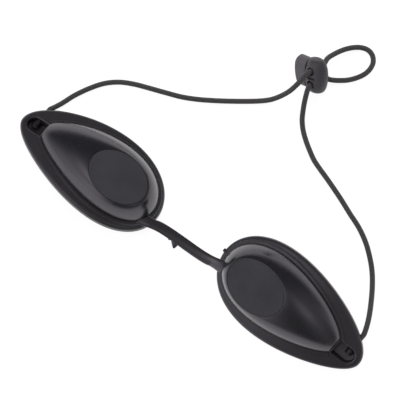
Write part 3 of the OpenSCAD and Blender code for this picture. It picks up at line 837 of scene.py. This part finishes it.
def strip_way(s):
    """Direction that a section at s faces: along the line, but square to the rims at the roots."""
    way = unit(strip_at(min(1, s + 0.01)) - strip_at(max(0, s - 0.01)))
    w = min(1, s / TURN_SHARE, (1 - s) / TURN_SHARE)
    end = root_heading(LEFT, 0) if s < 0.5 else -root_heading(RIGHT, 0)
    return unit(end + (way - end) * w)


def strip_axes(s):
    """Directions of a section's width and thickness."""
    t = strip_way(s)
    roll = math.radians(-CUP_ROLL + 2 * CUP_ROLL * s)
    flat = unit(np.cross([0, 0, 1.0], t))
    up = np.cross(t, flat)
    across = flat * math.cos(roll) + up * math.sin(roll)
    return across, np.cross(t, across)


def strip_section(half_w, half_t, count=48):
    """Flat bar with rounded edges."""
    a = np.linspace(0, 2 * math.pi, count, endpoint=False) + math.pi / count
    c = np.cos(a)
    return np.stack([half_w * np.sign(c) * np.abs(c) ** 0.92, half_t * np.sin(a)], -1)


def strip_ring(s):
    across, rise = strip_axes(s)
    q = strip_section(STRIP_WIDTH / 2, STRIP_WALL / 2)
    return strip_at(s) + q[:, :1] * across + q[:, 1:] * rise


def lug_ring(side, x):
    """Section of the strip's lug on a cup's flange at x in the cup's own axes: it widens
    towards the dome, and its upper edges sink into the step."""
    w = (x - ROOT_X) / (LUG_END - ROOT_X)
    flare = w * w * (3 - 2 * w)
    q = strip_section(STRIP_WIDTH / 2 + 0.7 * flare, STRIP_WALL / 2)
    y = root_y(side) + (-ROOT_DROP - root_y(side)) * w
    z = ROOT_Z + (bow(x) - bow(ROOT_X)) * (0.3 + 0.7 * w)
    ring = np.stack([np.full(len(q), x), y + q[:, 0], z + q[:, 1]], -1)
    return placed(ring, side)


def align(ring, ref):
    """The same ring with its points in the order of the ring ref."""
    _, turn, flip = min((np.linalg.norm(np.roll(r, k, 0) - ref, axis=1).sum(), k, f)
                        for f, r in ((0, ring), (1, ring[::-1])) for k in range(len(ring)))
    return np.roll(ring[::-1] if flip else ring, turn, 0)


def make_strip():
    """Two meshes that meet at the middle of the strip, one from each cup's lug."""
    xs = np.linspace(LUG_END, ROOT_X, 14)[:-1]
    left = [lug_ring(LEFT, x) for x in xs]
    middle = [strip_ring(s) for s in np.linspace(0, 1, 97)]
    right = [lug_ring(RIGHT, x) for x in xs[::-1]]
    rings = [middle[0]]
    for ring in left[::-1]:
        rings.append(align(ring, rings[-1]))
    rings = rings[::-1] + middle[1:]
    for ring in right:
        rings.append(align(ring, rings[-1]))
    rings = np.array(rings)
    half = len(left) + len(middle) // 2
    # The normals of the whole strip hide the line where its halves meet
    whole = put("whole", *skin(rings), [STRIP])
    normals = np.array([v.normal for v in whole.data.vertices]).reshape(rings.shape)
    bpy.data.objects.remove(whole)
    for side, part in ((LEFT, slice(None, half + 1)), (RIGHT, slice(half, None))):
        obj = put(f"nose_strip_{WORD[side]}_half", *skin(rings[part]), [STRIP])
        obj.data.normals_split_custom_set_from_vertices(normals[part].reshape(-1, 3).tolist())
        finish_piece(obj, ["nose_strip"])
        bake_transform(obj)


make_strip()


def rounded(v):
    """A wave with fuller crests."""
    return np.sign(v) * np.abs(v) ** 0.7


def barb(name, s, length, reach, lean, seed):
    """Torn thorn that the sprue left on the strip's cheek-side edge."""
    rng = np.random.default_rng(seed)
    across, rise = strip_axes(s)
    way = strip_way(s)
    base = strip_at(s) - across * (STRIP_WIDTH / 2 - 0.5)
    a = np.linspace(0, 2 * math.pi, 20, endpoint=False)
    rings = []
    for w in np.linspace(0, 1, 12):
        shrink = (1 - w) ** 0.75 + 0.08
        x, z = length / 2 * shrink * rounded(np.cos(a)), 0.6 * shrink * rounded(np.sin(a))
        torn = w * (1 - w) * rng.uniform(-0.5, 0.5, (20, 1))
        centre = base - across * reach * w + way * lean * w
        rings.append(centre + x[:, None] * way + z[:, None] * rise + torn * across)
    obj = outward(put(name, *skin(rings), [STRIP], crease=45))
    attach(obj, "frame")
    return obj


barb("sprue_stub_thorn", 0.41, length=3.8, reach=2.6, lean=1.2, seed=3)
barb("sprue_stub_short", 0.33, length=1.4, reach=0.9, lean=0.2, seed=5)


def nub(name, side, point, way, length, radius, seed):
    """Small gate mark on a rim's edge, at a point and along a way in the cup's own axes."""
    rng = np.random.default_rng(seed)
    start = np.asarray(point, float)
    way = unit(way)
    u = unit(np.cross(way, [0.1, 0.2, 0.97]))
    v = np.cross(way, u)
    a = np.linspace(0, 2 * math.pi, 20, endpoint=False)[:, None]
    rings = []
    for w, r in ((-0.4, 1.0), (0.0, 1.0), (0.5, 0.92), (0.85, 0.86), (1.0, 0.66)):
        wobble = rng.uniform(0.93, 1.07, (20, 1)) if w > 0 else 1
        rings.append(start + way * length * w + radius * r * wobble * (np.cos(a) * u + np.sin(a) * v))
    obj = outward(put(name, placed(np.array(rings), side).reshape(-1, 3), skin(rings)[1], [SATIN], crease=50))
    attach(obj, f"{WORD[side]}_cup")
    return obj


NUB_X, RIM_END_Z = RIM_HALF - 0.9, bow(RIM_HALF)
nub("left_tip_nub", LEFT, (NUB_X, -0.2, RIM_END_Z - 1.8), (1, 0, 0),
    length=0.85, radius=0.42, seed=7)
nub("right_tip_nub", RIGHT, (NUB_X, 1.2, RIM_END_Z - 2.4), (1, 0, 0),
    length=0.78, radius=0.38, seed=8)
nub("strip_root_nub", RIGHT, (-NUB_X, -0.7, RIM_END_Z - 1.2), (-1, 0.1, 0.15),
    length=1.7, radius=0.95, seed=9)


# Cord lock
# Stem, spring bore and block of the button. Each END or AT is a place on the button's axis.
STRAND_SLOT_R = 1.45
STEM_END = HOLE_X - STRAND_SLOT_R - 1
STEM_WIDTH = LOCK_PITCH + 2 * STRAND_SLOT_R + 1.3
SLOT_END = STEM_END - BUTTON_TRAVEL - 0.1
BORE_END, BORE_R = SLOT_END - 0.9, 1.85
POCKET_AT = HOLE_X + HOLE_R + 0.35
BLOCK_AT = POCKET_AT + BUTTON_TRAVEL + 0.1


def stem_outline(grow, start, end):
    corner = 1.4
    return [(start, corner - STEM_WIDTH / 2), (start + corner, -STEM_WIDTH / 2 - grow),
            (end, -STEM_WIDTH / 2 - grow), (end, STEM_WIDTH / 2 + grow),
            (start + corner, STEM_WIDTH / 2 + grow), (start, STEM_WIDTH / 2 - corner)]


def block_ring(inset, x):
    """Oval section of the button's block, smaller by inset, at x along the button's axis:
    x is a number, or a function of Y."""
    straight, r = (BLOCK_LENGTH - BLOCK_WIDTH) / 2, BLOCK_WIDTH / 2 - inset
    a = np.linspace(-math.pi / 2, math.pi / 2, 40)[:, None]
    w = np.linspace(1, -1, 30)[1:-1, None] * straight
    side = np.full_like(w, r)
    yz = np.vstack([np.hstack([straight + r * np.cos(a), r * np.sin(a)]), np.hstack([w, side]),
                    np.hstack([-straight - r * np.cos(a), -r * np.sin(a)]), np.hstack([-w, -side])])
    return np.c_[x(yz[:, 0]) if callable(x) else np.full(len(yz), x), yz]


def make_lock_body():
    """Barrel with flat ends, the stem's slot, the block's pocket, the spring's bore, two cord
    holes and the small groove between them."""
    count, last = 96, math.radians(84)
    q = np.linspace(0, 2 * math.pi, count, endpoint=False)
    rings = []
    for a in np.linspace(-last, last, 73):
        f = math.sqrt(math.cos(a))
        y = np.full(count, LOCK_LENGTH / 2 * math.sin(a) / math.sin(last))
        rings.append(np.stack([LOCK_WIDTH / 2 * f * np.cos(q), y, LOCK_DEPTH / 2 * f * np.sin(q)], -1))
    flat = np.array([0.86, 1, 0.86])
    body = outward(put("lock_body_shell", *skin([rings[0] * flat] + rings + [rings[-1] * flat]), [LOCK]))
    wall = STEM_WALL + 2 * STEM_CLEAR
    slot = prism("slot", stem_outline(STEM_CLEAR, SLOT_END, LOCK_WIDTH), -wall / 2, wall / 2, [LOCK])
    bore = rod("bore", (BORE_END, 0, 0), (1, 0, 0), BORE_R, 40, [LOCK])
    # Each cord hole flares where it meets the barrel's faces
    face = LOCK_DEPTH / 2 * 0.955
    upper = [(face - 0.8, HOLE_R), (face - 0.35, 1.76), (face - 0.05, 1.98), (face + 0.3, 2.5),
             (LOCK_DEPTH, 2.6)]
    profile = [(-z, r) for z, r in upper[::-1]] + upper
    shares = [((z + LOCK_DEPTH) / (2 * LOCK_DEPTH), r) for z, r in profile]
    holes = [rod("hole", (HOLE_X, y, -LOCK_DEPTH), (HOLE_X, y, LOCK_DEPTH), shares, 48, [LOCK])
             for y in (-LOCK_PITCH / 2, LOCK_PITCH / 2)]
    near, far, half = HOLE_X - 2.4, HOLE_X + 1.6, 0.45
    groove = prism("groove", [(near, -half), (far, -half), (far, half), (near, half)],
                   LOCK_DEPTH / 2 - 1.0, LOCK_DEPTH, [LOCK])
    pocket = put("pocket", *skin([block_ring(-STEM_CLEAR, x) for x in (POCKET_AT, 4, 6, LOCK_WIDTH)]), [LOCK])
    body = carve(body, [slot, pocket, bore] + holes + [groove])
    body = round_edges(body, 0.22, 38, 2)
    moved(body, lock_point)
    smooth(body, 50)
    return finish_piece(body, ["lock_body"], "frame")


def make_button():
    """Oval block with a curved crown and rounded edges, on a flat stem with two slots."""
    def crown(below):
        return lambda y: CROWN_REACH - CROWN_R + np.sqrt(CROWN_R ** 2 - (y + CROWN_SHIFT) ** 2) - below

    lower, upper = 0.3, 0.45
    rings = [block_ring(1.6, BLOCK_AT)]
    for v in arc(0, 90, 4):
        rings.append(block_ring(lower * (1 - math.sin(v)), BLOCK_AT + lower * (1 - math.cos(v))))
    rings += [block_ring(0, BLOCK_AT + lower), block_ring(0, 5.2), block_ring(0, crown(0.5))]
    for v in arc(0, 90, 7):
        rings.append(block_ring(upper * (1 - math.cos(v)), crown(upper * (1 - math.sin(v)))))
    rings += [block_ring(v, crown(0)) for v in (0.5, 0.8, 1.2, 1.7, 2.2, 2.7, 2.95)]
    head = outward(put("lock_button_moulded", *skin(rings), [BUTTON]))
    stem = prism("stem", stem_outline(0, STEM_END, BLOCK_AT + 0.4), -STEM_WALL / 2, STEM_WALL / 2, [BUTTON])
    slots = []
    for y in (-LOCK_PITCH / 2, LOCK_PITCH / 2):
        bend = [(STRAND_SLOT_R * math.cos(v), STRAND_SLOT_R * math.sin(v))
                for v in np.linspace(math.pi / 2, 3 * math.pi / 2, 20)]
        outline = ([(HOLE_X + u, y + v) for u, v in bend]
                   + [(HOLE_X + BUTTON_TRAVEL + 0.2 - u, y - v) for u, v in bend])
        slots.append(prism("slot", outline, -STEM_WALL, STEM_WALL, [BUTTON]))
    stem = round_edges(carve(stem, slots), 0.2, 40, 2)
    button = carve(head, [stem], "UNION")
    moved(button, lock_point)
    smooth(button, 42)
    return finish_piece(button, ["lock_button"], "button")


def finish_spring():
    """Steel on the CAD spring."""
    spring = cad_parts["lock_spring"]
    spring.data.materials.clear()
    spring.data.materials.append(STEEL)
    smooth(spring, 60)
    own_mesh(spring)


make_lock_body()
make_button()
finish_spring()


# Table and light
def table_white():
    """White surface that keeps a faint shadow, to camera, glossy and transmission rays. To the
    rest it is a plain pale one."""
    n = new_material("table_white")
    out = next(node for node in n.tree.nodes if node.type == "OUTPUT_MATERIAL")
    n.tree.nodes.remove(n.shader)
    path = n.add("ShaderNodeLightPath").outputs
    seen = n.maths("MAXIMUM", path["Is Camera Ray"],
                   n.maths("MAXIMUM", path["Is Glossy Ray"], path["Is Transmission Ray"]))
    mottle = n.noise(n.add("ShaderNodeTexCoord").outputs["Object"], 40, 3)
    real = n.add("ShaderNodeBsdfDiffuse")
    n.link(n.ramp(mottle, [(0.3, (0.79, 0.79, 0.79)), (0.7, (0.81, 0.81, 0.81))]), real.inputs["Color"])
    shaded = n.add("ShaderNodeBsdfDiffuse", Color=(0.25, 0.25, 0.25, 1))
    glow = n.add("ShaderNodeEmission", Strength=0.9)
    both = n.add("ShaderNodeAddShader")
    n.link(shaded.outputs[0], both.inputs[0])
    n.link(glow.outputs[0], both.inputs[1])
    mix = n.add("ShaderNodeMixShader")
    for value, socket in zip((seen, real.outputs[0], both.outputs[0]), mix.inputs):
        n.link(value, socket)
    n.link(mix.outputs[0], out.inputs["Surface"])
    return n.owner


def make_table():
    """Wide round table top, with finer faces near the object."""
    count, radii = 64, (300, 900, 2500, 9000)
    turns = np.linspace(0, 2 * math.pi, count, endpoint=False)
    points = [(0, 0, 0)] + [(r * math.cos(a), r * math.sin(a), 0) for r in radii for a in turns]
    faces = [(0, 1 + i, 1 + (i + 1) % count) for i in range(count)]
    for k in range(len(radii) - 1):
        a, b = 1 + k * count, 1 + (k + 1) * count
        faces += [(a + i, b + i, b + (i + 1) % count, a + (i + 1) % count) for i in range(count)]
    put("table", points, faces, [table_white()])


# Wide soft lights of the sky: azimuth, elevation, strength and sharpness
SKY = ((216, 67, 1.5, 18), (252, 24, 1.15, 14), (216, 24, 0.6, 14), (40, 42, 0.24, 14), (40, 12, 0.5, 30),
       (5, 60, 0.7, 36), (345, 34, 0.2, 14))
# Brightness of the sky by height: 0 is the horizon and 1 is straight above
SKY_FADE = ((0.0, 1.0), (0.05, 1.0), (0.13, 0.4), (0.25, 0.11), (1.0, 0.09))


def sky_way(azimuth, elevation):
    """Direction to a place in the sky. Azimuth 0 is along +X and 90 along +Y."""
    a, e = math.radians(azimuth), math.radians(elevation)
    return Vector((math.cos(a) * math.cos(e), math.sin(a) * math.cos(e), math.sin(e)))


def make_world():
    """White low round the table and dim overhead, with a few wide soft lights."""
    world = bpy.data.worlds.new("studio")
    bpy.context.scene.world = world
    n = Nodes(world, "Background")
    way = n.add("ShaderNodeTexCoord").outputs["Generated"]
    split = n.add("ShaderNodeSeparateXYZ")
    n.link(way, split.inputs[0])
    total = n.ramp(split.outputs["Z"], [(height, (value,) * 3) for height, value in SKY_FADE])
    for azimuth, elevation, strength, sharp in SKY:
        dot = n.add("ShaderNodeVectorMath", operation="DOT_PRODUCT")
        dot.inputs[1].default_value = sky_way(azimuth, elevation)
        n.link(way, dot.inputs[0])
        near = n.maths("MULTIPLY", n.maths("SUBTRACT", dot.outputs["Value"], 1.0), sharp)
        total = n.maths("ADD", n.maths("MULTIPLY", n.maths("EXPONENT", near), strength), total)
    n.shader.inputs["Color"].default_value = (1, 1, 1, 1)
    n.link(total, n.shader.inputs["Strength"])


def softbox(name, azimuth, elevation, distance, width, height, power):
    """Soft lamp that faces the goggles."""
    way = sky_way(azimuth, elevation)
    data = bpy.data.lights.new(name, "AREA")
    data.shape, data.size, data.size_y = "RECTANGLE", width, height
    data.energy = 4 * width * height * power
    lamp = bpy.data.objects.new(name, data)
    bpy.context.scene.collection.objects.link(lamp)
    lamp.location = way * distance
    lamp.rotation_euler = way.to_track_quat("Z", "Y").to_euler()
    return lamp


make_table()
make_world()
fill = softbox("overhead_fill", 115, 48, distance=1.5, width=1.2, height=1.2, power=1.9)
fill.visible_glossy = False
